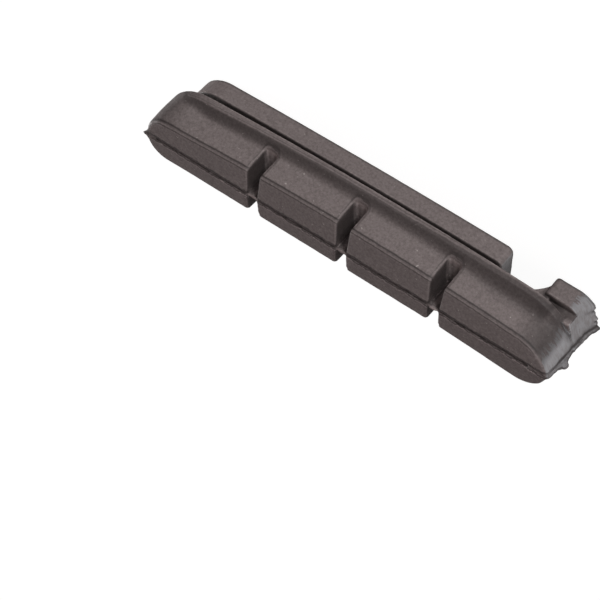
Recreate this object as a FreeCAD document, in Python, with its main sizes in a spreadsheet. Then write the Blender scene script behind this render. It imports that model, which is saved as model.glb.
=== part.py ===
import FreeCAD, Part
import math
import os
import Sketcher

# Rim brake pad insert, moulded in one piece from rubber compound, to slide into a metal shoe.
#
# Frame in millimetres: X runs along the pad, from the round nose at -X to the heel with its stop block
# at +X. Y runs across it, with the bulging long side at +Y. Z = 0 is the flat back of the rail, and the
# friction face is on top. The mould parts along the plane Y = 0.

Vector = FreeCAD.Vector

# Each row is the name of a size, its value in millimetres or degrees, and what it is.
SIZES = [
    ("nose_reach", 27.5, "rim, from the origin to the nose"),
    ("heel_reach", 27.5, "body and stop block, from the origin to the heel at the parting plane"),
    ("heel_slant", 20.5, "angle at which each half of the heel end falls back"),
    ("rail_thickness", 2.55, "flange of the T-shaped rail"),
    ("slot_height", 1.25, "undercut between flange and body"),
    ("block_height", 5.25, "body, from its back to the ridge of the friction face"),
    ("lip_height", 0.65, "upright band of the rim, which bears on the shoe"),
    ("flare_height", 1.1, "hollow flare between the lip and the upright walls"),
    ("flare_hollow", 0.3, "share of the flare's reach that is left half way up"),
    ("wall_lean", 0.24, "how far the walls lean out between face and flare"),
    ("widest_place", 1.4, "where the bulging side is widest"),
    ("face_slope", 7.1, "fall of each half of the friction face from the ridge"),
    ("face_edge", 0.25, "rounding along the friction face"),
    ("face_front", 4.0, "friction face, bulging side at its widest"),
    ("face_radius", 310.0, "bulge of that side"),
    ("face_back", 3.1, "friction face, straight side"),
    ("face_flare", 4.2, "angle at which the straight side opens over the last block"),
    ("nose_step", 0.6, "how far the friction face stands in from the rim at the nose"),
    ("nose_slant", 3.0, "angle at which each half of its nose falls back"),
    ("face_nose_front", 1.8, "its corner radius there, bulging side"),
    ("face_nose_back", 2.5, "and on the straight side"),
    ("face_heel_front", 3.0, "its corner radius at the heel, bulging side"),
    ("face_heel_back", 2.4, "and on the straight side"),
    ("rim_front", 5.66, "rim, bulging side at its widest"),
    ("rim_radius", 380.0, "bulge of that side"),
    ("rim_back", 5.35, "rim, straight side, beside the last groove"),
    ("rim_flare", 0.8, "angle at which that side opens along its whole length"),
    ("rim_nose_slant", 10.0, "angle at which each half of the rim's nose falls back"),
    ("rim_nose_front", 4.4, "its corner radius there, bulging side"),
    ("rim_nose_back", 4.2, "and on the straight side"),
    ("rim_heel_front", 4.0, "its corner radius at the heel, bulging side"),
    ("rim_heel_back", 4.2, "and on the straight side"),
    ("parting_width", 0.9, "groove along the ridge, where the mould halves met"),
    ("parting_depth", 0.3, "its depth below the ridge"),
    ("last_block", 13.75, "from the heel to the upright wall of the last cross groove"),
    ("groove_count", 3, "cross grooves"),
    ("groove_pitch", 12.3, "from one cross groove to the next"),
    ("groove_width", 1.45, "groove beside the web"),
    ("groove_slant", 7.5, "angle at which its nose side falls back across each half"),
    ("groove_floor", 0.5, "flat bottom of a groove, above the lip"),
    ("groove_flat", 0.05, "least width of that flat between its two roundings"),
    ("groove_seam", 0.05, "from the top of those roundings to the foot of the walls"),
    ("web_thickness", 0.4, "web of moulding flash that bridges each groove at the parting plane"),
    ("rail_front", 4.75, "rail, bulging side at its widest"),
    ("rail_radius", 750.0, "bulge of that side"),
    ("rail_back", 4.5, "rail, straight side"),
    ("rail_inset", 6.4, "from the nose of the rim to the centre of the rail's round nose"),
    ("rail_slant", 4.0, "angle at which each half of the rail's heel end falls back"),
    ("rail_corner", 0.7, "corners of that end"),
    ("slot_depth", 1.05, "how far the neck stands in from the rail"),
    ("stop_gap", 5.3, "from the rail to the stop block"),
    ("stop_length", 5.0, "stop block, from the gap to the heel"),
    ("stop_width", 8.55, "stop block across"),
    ("stop_corner", 0.5, "its corners beside the gap"),
    ("stop_heel_corner", 0.4, "its corners beside the heel end"),
    ("ramp_length", 4.6, "hollow ramp from the body up to the stop block"),
    ("ramp_height", 2.9, "its height against the block"),
    ("back_edge", 0.25, "rounding along the backs of rail and stop block"),
]

doc = FreeCAD.newDocument("rim_brake_pad")
sheet = doc.addObject("Spreadsheet::Sheet", "sizes")
for row, (alias, amount, meaning) in enumerate(SIZES, start=1):
    sheet.set("A%d" % row, alias)
    sheet.set("B%d" % row, str(amount))
    sheet.set("C%d" % row, meaning)
    sheet.setAlias("B%d" % row, alias)
doc.recompute()

body = doc.addObject("PartDesign::Body", "brake_pad")
body.Label = "brake_pad"

# Heights and places that several features share, as expressions of the sheet's sizes.
BACK = "(sizes.rail_thickness + sizes.slot_height)"
RIDGE = "(%s + sizes.block_height)" % BACK
LIP_TOP = "(%s + sizes.lip_height)" % BACK
FLARE_MIDDLE = "(%s + sizes.flare_height / 2)" % LIP_TOP
WALL_FOOT = "(%s + sizes.flare_height)" % LIP_TOP
GROOVE_FLOOR = "(%s + sizes.groove_floor)" % LIP_TOP
GROOVE_ROUNDING = ("min(sizes.flare_height - sizes.groove_floor - sizes.groove_seam;"
                   " (sizes.groove_width - sizes.groove_flat) / 2)")
LAST_GROOVE = "(sizes.heel_reach - sizes.last_block)"
BEND = "(%s - sizes.groove_width / 2)" % LAST_GROOVE
STOP_FACE = "(sizes.heel_reach - sizes.stop_length)"
RAIL_END = "(%s - sizes.stop_gap)" % STOP_FACE
NECK_FRONT = "(sizes.rail_front - sizes.slot_depth)"
NECK_BACK = "(sizes.rail_back - sizes.slot_depth)"
CLEAR = "(sizes.rim_front + sizes.rim_back)"

# Points of an edge, and the sketch's own axes and origin, as constraints number them.
START, END, CENTRE = range(1, 4)
X_AXIS, Y_AXIS = range(-1, -3, -1)
ORIGIN = (X_AXIS, START)

# Distance in millimetres within which a point lies on a surface.
FIT = 0.001


def number(expression):
    """What an expression of the sheet's sizes comes to."""
    return float(body.evalExpression(expression))


def origin_part(role):
    """One of the body's own origin planes or axes."""
    return next(f for f in body.Origin.OriginFeatures if f.Role == role)


def new_sketch(name, role, offset):
    """An empty sketch on an origin plane, moved along that plane's normal."""
    sketch = body.newObject("Sketcher::SketchObject", name)
    sketch.AttachmentSupport = [(origin_part(role), "")]
    sketch.MapMode = "FlatFace"
    sketch.setExpression(".AttachmentOffset.Base.z", offset)
    return sketch


def polar(angle):
    """Unit vector at an angle in degrees from the sketch's X axis."""
    return Vector(math.cos(math.radians(angle)), math.sin(math.radians(angle)), 0)


def left_of(direction):
    """The direction turned left, which is the inward normal of an outline drawn anticlockwise."""
    return Vector(-direction.y, direction.x, 0)


def round_corner(centre, inward, onward, radius):
    """Start, middle and end of the arc about centre that touches two sides with these inward normals."""
    halfway = (inward + onward).normalize()
    return centre - inward * radius, centre - halfway * radius, centre - onward * radius


def corner_of_lines(point, direction, other, heading, radius):
    """The round corner where a line through one point turns left into a line through the other."""
    inward, onward = left_of(direction), left_of(heading)
    base = point + inward * radius
    travel = (other + onward * radius - base).dot(onward) / direction.dot(onward)
    return round_corner(base + direction * travel, inward, onward, radius)


def corner_at_arc(tip, along, inward, hub, reach, radius):
    """The round corner between a facet that leaves the tip and a large arc about hub."""
    base = tip + inward * radius - hub
    run = base.dot(along)
    travel = math.sqrt(run ** 2 - base.dot(base) + (reach - radius) ** 2) - run
    centre = hub + base + along * travel
    return round_corner(centre, inward, (hub - centre).normalize(), radius)


def draw(sketch, **edges):
    """Lines, given by two points, and arcs, given by three, in order round an outline. Gives the number
    that constraints know each by."""
    numbers = {}
    for name, points in edges.items():
        curve = Part.Arc(*points) if len(points) == 3 else Part.LineSegment(*points)
        numbers[name] = sketch.addGeometry(curve)
    return numbers


def hold(sketch, kind, *where):
    """A constraint with no size."""
    sketch.addConstraint(Sketcher.Constraint(kind, *where))


def drive(sketch, name, expression, kind, *where):
    """A constraint whose size follows the sheet."""
    value = number(expression)
    size = math.radians(value) if kind == "Angle" else value
    index = sketch.addConstraint(Sketcher.Constraint(kind, *where, size))
    sketch.renameConstraint(index, name)
    sketch.setExpression("Constraints." + name, expression)


def place(sketch, name, edge, end, x, y):
    """Hold one end of an edge at a point, measured from the origin in whichever direction is positive."""
    for axis, expression in (("X", x), ("Y", y)):
        kind = "Distance" + axis
        if number(expression) < 0:
            drive(sketch, name + axis, "-(%s)" % expression, kind, edge, end, *ORIGIN)
        else:
            drive(sketch, name + axis, expression, kind, *ORIGIN, edge, end)


def close_outline(sketch, edges, sharp):
    """Join each edge to the next, with a tangent unless the corner after it is sharp."""
    numbers = list(edges.values())
    for name, edge, following in zip(edges, numbers, numbers[1:] + numbers[:1]):
        hold(sketch, "Coincident" if name in sharp else "Tangent", edge, END, following, START)


def hold_facets(sketch, edges, slant):
    """The two facets of a heel end meet in the parting plane, and fall back from there by one angle."""
    hold(sketch, "PointOnObject", edges["heel_back_facet"], END, X_AXIS)
    drive(sketch, "heel_back_facet", "90 - " + slant, "Angle", edges["heel_back_facet"])
    drive(sketch, "heel_front_facet", "90 + " + slant, "Angle", edges["heel_front_facet"])


def pad_outline(name, height, follows):
    """Outline of the body at one height: an arc along the bulging side, two lines along the straight side, a
    blunt nose, and a heel of two facets that meet at the parting plane. follows holds its own expressions."""
    value = {key: number(expression) for key, expression in follows.items()}
    blunt, slant = value["blunt"], number("sizes.heel_slant")
    nose = Vector(-value["nose"], 0, 0)
    heel = Vector(number("sizes.heel_reach"), 0, 0)
    bend = Vector(number(BEND), -value["back"], 0)
    reach = value["radius"]
    hub = Vector(number("sizes.widest_place"), value["front"] - reach, 0)
    crown = hub + Vector(0, reach, 0)
    down, up = polar(blunt - 90), polar(90 - blunt)
    rising, returning = polar(90 - slant), polar(90 + slant)
    nose_back = corner_of_lines(nose, down, bend, polar(-value["nose_run"]), value["nose_back"])
    heel_back = corner_of_lines(bend, polar(-value["heel_run"]), heel, rising, value["heel_back"])
    heel_front = corner_at_arc(heel, returning, left_of(returning), hub, reach, value["heel_front"])
    nose_front = corner_at_arc(nose, up, -left_of(up), hub, reach, value["nose_front"])[::-1]

    sketch = new_sketch(name, "XY_Plane", height)
    edges = draw(
        sketch, nose_back_facet=(nose, nose_back[0]), nose_back=nose_back, nose_run=(nose_back[2], bend),
        heel_run=(bend, heel_back[0]), heel_back=heel_back, heel_back_facet=(heel_back[2], heel),
        heel_front_facet=(heel, heel_front[0]), heel_front=heel_front,
        bulge=(heel_front[2], crown, nose_front[0]), nose_front=nose_front,
        nose_front_facet=(nose_front[2], nose))
    close_outline(sketch, edges, sharp=("nose_run", "heel_back_facet", "nose_front_facet"))
    hold(sketch, "PointOnObject", edges["nose_back_facet"], START, X_AXIS)
    hold_facets(sketch, edges, "sizes.heel_slant")
    drive(sketch, "nose", follows["nose"], "DistanceX", edges["nose_back_facet"], START, *ORIGIN)
    drive(sketch, "heel", "sizes.heel_reach", "DistanceX", *ORIGIN, edges["heel_back_facet"], END)
    drive(sketch, "bend", BEND, "DistanceX", *ORIGIN, edges["nose_run"], END)
    drive(sketch, "back", follows["back"], "DistanceY", edges["nose_run"], END, *ORIGIN)
    drive(sketch, "nose_run", "-" + follows["nose_run"], "Angle", edges["nose_run"])
    drive(sketch, "heel_run", "-" + follows["heel_run"], "Angle", edges["heel_run"])
    drive(sketch, "nose_back_facet", follows["blunt"] + " - 90", "Angle", edges["nose_back_facet"])
    drive(sketch, "nose_front_facet", "-90 - " + follows["blunt"], "Angle", edges["nose_front_facet"])
    drive(sketch, "widest", "sizes.widest_place", "DistanceX", *ORIGIN, edges["bulge"], CENTRE)
    sagitta = follows["radius"] + " - " + follows["front"]
    drive(sketch, "front", sagitta, "DistanceY", edges["bulge"], CENTRE, *ORIGIN)
    drive(sketch, "bulge", follows["radius"], "Radius", edges["bulge"])
    for corner in ("nose_back", "heel_back", "heel_front", "nose_front"):
        drive(sketch, corner, follows[corner], "Radius", edges[corner])
    return sketch


def rail_outline(name, height, inset):
    """Outline of the rail, or of its neck when drawn in by inset: a round nose, and two facets at the heel."""
    front, back = "(sizes.rail_front - %s)" % inset, "(sizes.rail_back - %s)" % inset
    bulge = "(sizes.rail_radius - %s)" % inset
    run = "(sizes.nose_reach - sizes.rail_inset)"
    reach, across = number(bulge), number(front) + number(back)
    corner, slant = number("sizes.rail_corner"), number("sizes.rail_slant")
    heel = Vector(number(RAIL_END), 0, 0)
    hub = Vector(0, number(front) - reach, 0)
    crown = Vector(0, number(front), 0)
    floor = Vector(0, -number(back), 0)
    width = across / 2 - number(run) ** 2 / (2 * (2 * reach - across))
    centre = Vector(-number(run), floor.y + width, 0)
    ahead, rising, returning = polar(0), polar(90 - slant), polar(90 + slant)
    heel_front = corner_at_arc(heel, returning, left_of(returning), hub, reach, corner)
    heel_back = corner_of_lines(floor, ahead, heel, rising, corner)
    outward = (centre - hub).normalize()
    nose = (centre + outward * width, centre - ahead * width, centre + left_of(-ahead) * width)

    sketch = new_sketch(name, "XY_Plane", height)
    edges = draw(
        sketch, heel_back_facet=(heel_back[2], heel), heel_front_facet=(heel, heel_front[0]),
        heel_front=heel_front, bulge=(heel_front[2], crown, nose[0]), nose=nose,
        straight=(nose[2], heel_back[0]), heel_back=heel_back)
    close_outline(sketch, edges, sharp=("heel_back_facet",))
    hold(sketch, "Horizontal", edges["straight"])
    hold(sketch, "PointOnObject", edges["bulge"], CENTRE, Y_AXIS)
    hold_facets(sketch, edges, "sizes.rail_slant")
    drive(sketch, "heel", RAIL_END, "DistanceX", *ORIGIN, edges["heel_back_facet"], END)
    drive(sketch, "back", back, "DistanceY", edges["straight"], START, *ORIGIN)
    drive(sketch, "front", bulge + " - " + front, "DistanceY", edges["bulge"], CENTRE, *ORIGIN)
    drive(sketch, "bulge", bulge, "Radius", edges["bulge"])
    drive(sketch, "nose", run, "DistanceX", edges["nose"], CENTRE, *ORIGIN)
    drive(sketch, "heel_front", "sizes.rail_corner", "Radius", edges["heel_front"])
    drive(sketch, "heel_back", "sizes.rail_corner", "Radius", edges["heel_back"])
    return sketch


def stop_outline(name, height):
    """Outline of the stop block, whose heel end is flush with the two facets of the body's."""
    half = number("sizes.stop_width") / 2
    heel = Vector(number("sizes.heel_reach"), 0, 0)
    gap = Vector(number(STOP_FACE), 0, 0)
    above, below = Vector(0, half, 0), Vector(0, -half, 0)
    slant = number("sizes.heel_slant")
    rising, returning = polar(90 - slant), polar(90 + slant)
    ahead, astern, fall = polar(0), polar(180), polar(-90)
    small, large = number("sizes.stop_heel_corner"), number("sizes.stop_corner")
    heel_front = corner_of_lines(heel, returning, above, astern, small)
    gap_front = corner_of_lines(above, astern, gap, fall, large)
    gap_back = corner_of_lines(gap, fall, below, ahead, large)
    heel_back = corner_of_lines(below, ahead, heel, rising, small)

    sketch = new_sketch(name, "XY_Plane", height)
    edges = draw(
        sketch, heel_front_facet=(heel, heel_front[0]), heel_front=heel_front,
        front=(heel_front[2], gap_front[0]), gap_front=gap_front, gap=(gap_front[2], gap_back[0]),
        gap_back=gap_back, back=(gap_back[2], heel_back[0]), heel_back=heel_back,
        heel_back_facet=(heel_back[2], heel))
    close_outline(sketch, edges, sharp=("heel_back_facet",))
    hold(sketch, "Horizontal", edges["front"])
    hold(sketch, "Vertical", edges["gap"])
    hold(sketch, "Horizontal", edges["back"])
    hold_facets(sketch, edges, "sizes.heel_slant")
    drive(sketch, "heel", "sizes.heel_reach", "DistanceX", *ORIGIN, edges["heel_back_facet"], END)
    drive(sketch, "front", "sizes.stop_width / 2", "DistanceY", *ORIGIN, edges["front"], START)
    drive(sketch, "back", "sizes.stop_width / 2", "DistanceY", edges["back"], START, *ORIGIN)
    drive(sketch, "gap", STOP_FACE, "DistanceX", *ORIGIN, edges["gap"], START)
    for corner in ("heel_front", "heel_back"):
        drive(sketch, corner, "sizes.stop_heel_corner", "Radius", edges[corner])
    for corner in ("gap_front", "gap_back"):
        drive(sketch, corner, "sizes.stop_corner", "Radius", edges[corner])
    return sketch


def feature(kind, name, profile, **lengths):
    """A pad or pocket of a sketch, with its lengths bound to expressions."""
    made = body.newObject("PartDesign::" + kind, name)
    made.Profile = profile
    for key, expression in lengths.items():
        made.setExpression(key, expression)
    profile.Visibility = False
    return made


def loft(name, profile, *sections, ruled=True):
    """A loft through sketches with the same run of edges."""
    made = body.newObject("PartDesign::AdditiveLoft", name)
    made.Profile = profile
    made.Sections = list(sections)
    made.Ruled = ruled
    return made


def round_edges(name, radius, chosen):
    """Round those edges of the body so far that chosen picks."""
    doc.recompute()
    base = body.Tip
    names = ["Edge%d" % index for index, edge in enumerate(base.Shape.Edges, start=1) if chosen(edge)]
    made = body.newObject("PartDesign::Fillet", name)
    made.Base = (base, names)
    made.setExpression("Radius", radius)


def points_of(edge):
    """The ends and the middle of an edge."""
    middle = edge.valueAt((edge.FirstParameter + edge.LastParameter) / 2)
    return [middle] + [vertex.Point for vertex in edge.Vertexes]


def blend(low, high, share):
    """An expression part of the way from one expression to another."""
    return "(%s + (%s - %s) * %s)" % (low, high, low, share)


# The three outlines that the body runs through, and one that hollows the flare between the lower two.
face = {
    "front": "sizes.face_front", "radius": "sizes.face_radius", "back": "sizes.face_back",
    "nose": "(sizes.nose_reach - sizes.nose_step)", "blunt": "sizes.nose_slant",
    "nose_run": "0", "heel_run": "sizes.face_flare",
    "nose_front": "sizes.face_nose_front", "nose_back": "sizes.face_nose_back",
    "heel_front": "sizes.face_heel_front", "heel_back": "sizes.face_heel_back",
}
wall = dict(face)
for side in ("front", "radius", "back", "nose", "nose_front", "nose_back", "heel_front", "heel_back"):
    wall[side] = "(%s + sizes.wall_lean)" % face[side]
rim = {
    "front": "sizes.rim_front", "radius": "sizes.rim_radius", "back": "sizes.rim_back",
    "nose": "sizes.nose_reach", "blunt": "sizes.rim_nose_slant",
    "nose_run": "sizes.rim_flare", "heel_run": "sizes.rim_flare",
    "nose_front": "sizes.rim_nose_front", "nose_back": "sizes.rim_nose_back",
    "heel_front": "sizes.rim_heel_front", "heel_back": "sizes.rim_heel_back",
}
hollow = {key: blend(wall[key], rim[key], "sizes.flare_hollow") for key in rim}


def through_cut(name, profile):
    """Cut a profile drawn across the pad along its whole length."""
    cut = feature("Pocket", name, profile)
    cut.Type = "ThroughAll"
    cut.SideType = "Symmetric"


def slopes_profile():
    """What lies above the two halves of the friction face, which fall away from the ridge."""
    width, low, high = number(CLEAR), number(RIDGE), number(RIDGE + " + sizes.block_height")
    fall = width * math.tan(math.radians(number("sizes.face_slope")))
    ridge = Vector(0, low, 0)
    front, front_top = Vector(width, low - fall, 0), Vector(width, high, 0)
    back, back_top = Vector(-width, low - fall, 0), Vector(-width, high, 0)
    sketch = new_sketch("above_the_face", "YZ_Plane", "0")
    edges = draw(sketch, front_slope=(ridge, front), front_side=(front, front_top), top=(front_top, back_top),
                 back_side=(back_top, back), back_slope=(back, ridge))
    close_outline(sketch, edges, sharp=edges)
    hold(sketch, "PointOnObject", edges["front_slope"], START, Y_AXIS)
    hold(sketch, "Vertical", edges["front_side"])
    hold(sketch, "Horizontal", edges["top"])
    hold(sketch, "Vertical", edges["back_side"])
    drive(sketch, "ridge", RIDGE, "DistanceY", *ORIGIN, edges["front_slope"], START)
    drive(sketch, "front_slope", "-sizes.face_slope", "Angle", edges["front_slope"])
    drive(sketch, "back_slope", "sizes.face_slope", "Angle", edges["back_slope"])
    drive(sketch, "top", RIDGE + " + sizes.block_height", "DistanceY", *ORIGIN, edges["top"], START)
    drive(sketch, "front_side", CLEAR, "DistanceX", *ORIGIN, edges["front_side"], START)
    drive(sketch, "back_side", CLEAR, "DistanceX", edges["back_side"], START, *ORIGIN)
    return sketch


def parting_profile():
    """The shallow groove that the mould's parting plane leaves along the ridge."""
    half, ridge, depth = number("sizes.parting_width / 2"), number(RIDGE), number("sizes.parting_depth")
    left, bottom, right = Vector(-half, ridge, 0), Vector(0, ridge - depth, 0), Vector(half, ridge, 0)
    sketch = new_sketch("parting_groove_section", "YZ_Plane", "0")
    edges = draw(sketch, fall=(left, bottom), rise=(bottom, right), top=(right, left))
    close_outline(sketch, edges, sharp=edges)
    hold(sketch, "PointOnObject", edges["fall"], END, Y_AXIS)
    hold(sketch, "Horizontal", edges["top"])
    drive(sketch, "bottom", RIDGE + " - sizes.parting_depth", "DistanceY", *ORIGIN, edges["fall"], END)
    drive(sketch, "top", RIDGE, "DistanceY", *ORIGIN, edges["top"], START)
    drive(sketch, "front_half", "sizes.parting_width / 2", "DistanceX", *ORIGIN, edges["top"], START)
    drive(sketch, "back_half", "sizes.parting_width / 2", "DistanceX", edges["top"], END, *ORIGIN)
    return sketch


def groove_outline():
    """The last cross groove from above, in two halves with the web between them. Its heel wall is square to
    the pad, and its nose wall falls back with the distance from the web."""
    slant = "sizes.groove_slant"
    near, width = number(LAST_GROOVE), number("sizes.groove_width")
    run = number(CLEAR + " - sizes.web_thickness / 2")
    opening = width + run * math.tan(math.radians(number(slant)))
    sketch = new_sketch("groove_outline", "XY_Plane", RIDGE)
    for name, sign, turn in (("front", "", slant + " - 90"), ("back", "-", "90 - " + slant)):
        web_side, clear_side = sign + "sizes.web_thickness / 2", sign + CLEAR
        inner, outer = number(web_side), number(clear_side)
        heel_inner, heel_outer = Vector(near, inner, 0), Vector(near, outer, 0)
        nose_inner, nose_outer = Vector(near - width, inner, 0), Vector(near - opening, outer, 0)
        edges = draw(sketch, heel_wall=(heel_inner, heel_outer), outside=(heel_outer, nose_outer),
                     nose_wall=(nose_outer, nose_inner), web=(nose_inner, heel_inner))
        close_outline(sketch, edges, sharp=edges)
        web = edges["web"]
        hold(sketch, "Horizontal", edges["outside"])
        hold(sketch, "Horizontal", web)
        place(sketch, name + "_inner", edges["heel_wall"], START, LAST_GROOVE, web_side)
        place(sketch, name + "_outer", edges["heel_wall"], END, LAST_GROOVE, clear_side)
        drive(sketch, name + "_width", "sizes.groove_width", "DistanceX", web, START, web, END)
        drive(sketch, name + "_slant", turn, "Angle", edges["nose_wall"])
    return sketch


def ramp_profile():
    """Section of the hollow ramp between the back of the body and the stop block."""
    length, rise = number("sizes.ramp_length"), number("sizes.ramp_height")
    start, level = number(STOP_FACE), number(BACK)
    radius = (length ** 2 + rise ** 2) / (2 * rise)
    toe, root, top = Vector(start - length, level, 0), Vector(start, level, 0), Vector(start, level - rise, 0)
    centre = toe - Vector(0, radius, 0)
    halfway = centre + ((toe - centre).normalize() + (top - centre).normalize()).normalize() * radius
    sketch = new_sketch("ramp_section", "XZ_Plane", "-" + NECK_FRONT)
    edges = draw(sketch, back=(toe, root), block=(root, top), hollow=(top, halfway, toe))
    close_outline(sketch, edges, sharp=("back", "block"))
    hold(sketch, "Horizontal", edges["back"])
    hold(sketch, "Vertical", edges["block"])
    place(sketch, "root", edges["block"], START, STOP_FACE, BACK)
    drive(sketch, "length", "sizes.ramp_length", "DistanceX", edges["back"], START, edges["back"], END)
    drive(sketch, "rise", "sizes.ramp_height", "DistanceY", edges["block"], END, edges["block"], START)
    return sketch


def undercut_outline():
    """The slots on both sides of the stop block and its ramp, which carry on those beside the rail."""
    astern, ahead = STOP_FACE + " - sizes.ramp_length", "sizes.heel_reach + sizes.slot_depth"
    sketch = new_sketch("stop_undercut", "XY_Plane", BACK)
    for name, low, high in (("front", NECK_FRONT, CLEAR), ("back", "-" + CLEAR, "-" + NECK_BACK)):
        left, right, bottom, top = (number(side) for side in (astern, ahead, low, high))
        first, second = Vector(left, bottom, 0), Vector(right, bottom, 0)
        third, fourth = Vector(right, top, 0), Vector(left, top, 0)
        edges = draw(sketch, bottom=(first, second), right=(second, third), top=(third, fourth),
                     left=(fourth, first))
        close_outline(sketch, edges, sharp=edges)
        hold(sketch, "Horizontal", edges["bottom"])
        hold(sketch, "Vertical", edges["right"])
        hold(sketch, "Horizontal", edges["top"])
        hold(sketch, "Vertical", edges["left"])
        place(sketch, name + "_low", edges["bottom"], START, astern, low)
        place(sketch, name + "_high", edges["top"], START, ahead, high)
    return sketch


# Lip, hollow flare and walls of the body.
feature("Pad", "lip", pad_outline("rim_outline", BACK, rim), Length="sizes.lip_height")
loft("flare", pad_outline("lip_outline", LIP_TOP, rim), pad_outline("hollow_outline", FLARE_MIDDLE, hollow),
     pad_outline("foot_outline", WALL_FOOT, wall), ruled=False)
face_outline = pad_outline("face_outline", RIDGE, face)
loft("walls", pad_outline("wall_outline", WALL_FOOT, wall), face_outline)

# Friction face: two slopes from a ridge, which carries the parting groove.
through_cut("face_slopes", slopes_profile())
through_cut("parting_groove", parting_profile())

# Cross grooves, from the last one towards the nose, each with a round bottom.
groove = feature("Pocket", "groove", groove_outline(), Length=RIDGE + " - " + GROOVE_FLOOR)
grooves = body.newObject("PartDesign::LinearPattern", "grooves")
grooves.Originals = [groove]
grooves.Direction = (origin_part("X_Axis"), [""])
grooves.Reversed = True
grooves.Mode = "Spacing"
grooves.setExpression("Offset", "sizes.groove_pitch")
grooves.setExpression("Occurrences", "sizes.groove_count")
body.Tip = grooves
groove_bottom = number(GROOVE_FLOOR)


def groove_floor_edge(edge):
    """Whether an edge runs across the pad at the foot of a groove's walls."""
    points = points_of(edge)
    level = max(abs(point.z - groove_bottom) for point in points) < FIT
    across = points[-1] - points[1]
    return level and abs(across.y) > abs(across.x)


round_edges("groove_rounding", GROOVE_ROUNDING, groove_floor_edge)

# Rounding along the friction face's outline, between the grooves.
ridge_height = number(RIDGE)
slope = math.tan(math.radians(number("sizes.face_slope")))
parting_half, lean = number("sizes.parting_width / 2"), number("sizes.wall_lean")


def outer_face_edge(edge):
    """Whether an edge follows the friction face's outline, which the walls' lean leaves close beside it."""
    points = points_of(edge)
    on_face = max(abs(point.z - ridge_height + abs(point.y) * slope) for point in points) < FIT
    above = Part.Vertex(points[0].x, points[0].y, ridge_height)
    return on_face and abs(points[0].y) > parting_half and face_outline.Shape.distToShape(above)[0] < lean


round_edges("face_rounding", "sizes.face_edge", outer_face_edge)

# T-shaped rail on the back.
feature("Pad", "neck", rail_outline("neck_outline", "sizes.rail_thickness", "sizes.slot_depth"),
        Length="sizes.slot_height")
feature("Pad", "rail", rail_outline("rail_outline", "0", "0"), Length="sizes.rail_thickness")

# Stop block behind the heel end of the rail, undercut like it, and the ramp up to it.
feature("Pad", "stop_block", stop_outline("stop_outline", "0"), Length=BACK)
feature("Pad", "ramp", ramp_profile(), Length="%s + %s" % (NECK_FRONT, NECK_BACK))
feature("Pocket", "stop_slots", undercut_outline(), Length="sizes.slot_height")


def back_edge(edge):
    """Whether an edge lies in the flat back of the rail and the stop block."""
    return max(abs(point.z) for point in points_of(edge)) < FIT


round_edges("back_rounding", "sizes.back_edge", back_edge)
doc.recompute()

for item in doc.Objects:
    if "Invalid" in item.State or "Error" in item.State:
        raise SystemExit("%s failed: %s" % (item.Name, item.State))
    if item.isDerivedFrom("Sketcher::SketchObject") and not item.FullyConstrained:
        raise SystemExit("%s has sizes that nothing drives" % item.Name)
steps = [item for item in body.Group if item.isDerivedFrom("PartDesign::Feature")]
for before, after in zip(steps, steps[1:]):
    if abs(after.Shape.Volume - before.Shape.Volume) < FIT:
        raise SystemExit("%s changes nothing" % after.Name)
shape = body.Shape
if shape.isNull() or not shape.isValid() or len(shape.Solids) != 1:
    raise SystemExit("the pad isn't one valid solid")
os.makedirs("parts", exist_ok=True)
shape.exportStep("parts/%s.step" % body.Label)
print("%s: %.1f mm3, box %s" % (body.Label, shape.Volume, shape.optimalBoundingBox(False)))
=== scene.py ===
import itertools
import math

import bpy
import numpy as np
from mathutils import Matrix, Vector


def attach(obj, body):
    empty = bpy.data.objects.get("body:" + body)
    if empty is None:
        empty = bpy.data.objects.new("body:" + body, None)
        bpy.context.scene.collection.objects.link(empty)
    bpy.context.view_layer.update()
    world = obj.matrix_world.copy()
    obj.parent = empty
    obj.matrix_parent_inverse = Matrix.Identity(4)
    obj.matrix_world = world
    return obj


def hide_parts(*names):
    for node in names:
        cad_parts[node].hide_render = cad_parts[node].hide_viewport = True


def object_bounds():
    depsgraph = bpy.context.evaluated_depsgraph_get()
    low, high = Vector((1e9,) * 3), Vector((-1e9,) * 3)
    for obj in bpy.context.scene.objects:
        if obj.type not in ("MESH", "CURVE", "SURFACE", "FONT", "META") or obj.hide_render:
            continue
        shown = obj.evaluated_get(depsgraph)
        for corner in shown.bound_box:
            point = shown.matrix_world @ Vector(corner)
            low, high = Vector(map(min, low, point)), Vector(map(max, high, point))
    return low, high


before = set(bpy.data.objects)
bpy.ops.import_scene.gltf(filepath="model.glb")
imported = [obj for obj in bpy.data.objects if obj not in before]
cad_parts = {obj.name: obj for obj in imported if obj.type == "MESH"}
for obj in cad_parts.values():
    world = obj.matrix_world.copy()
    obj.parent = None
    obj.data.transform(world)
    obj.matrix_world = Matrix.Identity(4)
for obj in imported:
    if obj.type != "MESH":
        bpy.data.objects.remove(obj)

# Rim brake pad insert of moulded rubber. The shape is a field of signed distances in millimetres, negative
# inside the rubber, built from the sizes of the solid with flash and wear added. A closed mesh is drawn
# where the field is zero. X runs to the heel, Y to the bulging side and Z out of the friction face. The
# mould parts at Y = 0.

CAD_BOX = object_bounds()
MM = 0.001

# Sizes of the moulding, in millimetres and degrees. Heights are above the flat back of the rail.
RAIL_THICKNESS = 2.55
BACK = RAIL_THICKNESS + 1.25
LIP_BACK = 0.2
LIP_TOP = BACK + 0.65
WALL_FOOT = LIP_TOP + 1.1
RIDGE = BACK + 5.25

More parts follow.
